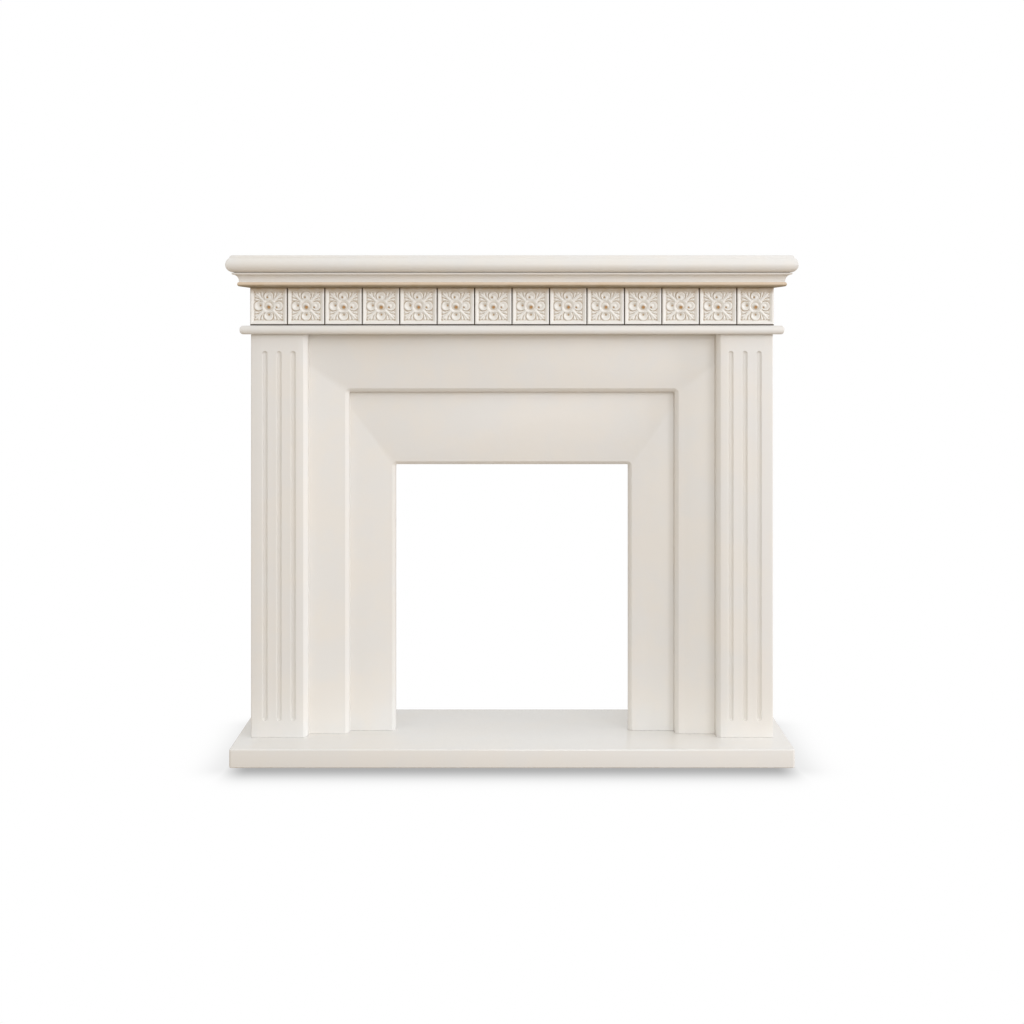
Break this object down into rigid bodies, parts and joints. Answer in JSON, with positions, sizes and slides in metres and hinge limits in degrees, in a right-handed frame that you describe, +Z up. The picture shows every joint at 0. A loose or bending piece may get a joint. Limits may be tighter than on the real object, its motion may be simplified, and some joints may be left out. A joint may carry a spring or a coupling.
{
  "type": "fireplace mantelpiece",
  "caption": "Cast cream marble fireplace mantelpiece: stepped surround, fluted pilasters, frieze of carved rosette tiles, moulded shelf and hearth slab.",
  "frame": {"origin": "on the floor under the middle of the hearth slab", "axes": "+X to the viewer's right along the mantelpiece, +Y back to the wall, +Z up; the front faces -Y"},
  "size_m": [1.408, 0.38, 1.244],
  "materials": {
    "cream_marble": "honed cast marble, cream, with a low sheen",
    "polished_marble": "polished cast marble, cream, that mirrors the legs standing on it",
    "washed_marble": "carved cream marble with a brown wash left in the hollows",
    "gilt_washed_marble": "cream marble moulding with a brown and gold wash along its bead"
  },
  "bodies": {
    "root": {"hearth": "polished_marble", "left_pilaster": "cream_marble", "right_pilaster": "cream_marble", "outer_frame": "cream_marble", "back_panel": "cream_marble", "left_cheek": "cream_marble", "right_cheek": "cream_marble", "bead_rail": "cream_marble", "frieze_board": "cream_marble", "frieze_left_end": "cream_marble", "frieze_right_end": "cream_marble", "rosette_tile_01": "washed_marble", "rosette_tile_02": "washed_marble", "rosette_tile_03": "washed_marble", "rosette_tile_04": "washed_marble", "rosette_tile_05": "washed_marble", "rosette_tile_06": "washed_marble", "rosette_tile_07": "washed_marble", "rosette_tile_08": "washed_marble", "rosette_tile_09": "washed_marble", "rosette_tile_10": "washed_marble", "rosette_tile_11": "washed_marble", "rosette_tile_12": "washed_marble", "rosette_tile_13": "washed_marble", "rosette_tile_14": "washed_marble", "crown_front": "gilt_washed_marble", "crown_left": "gilt_washed_marble", "crown_right": "gilt_washed_marble", "mantel_shelf": "cream_marble"}
  },
  "joints": []
}
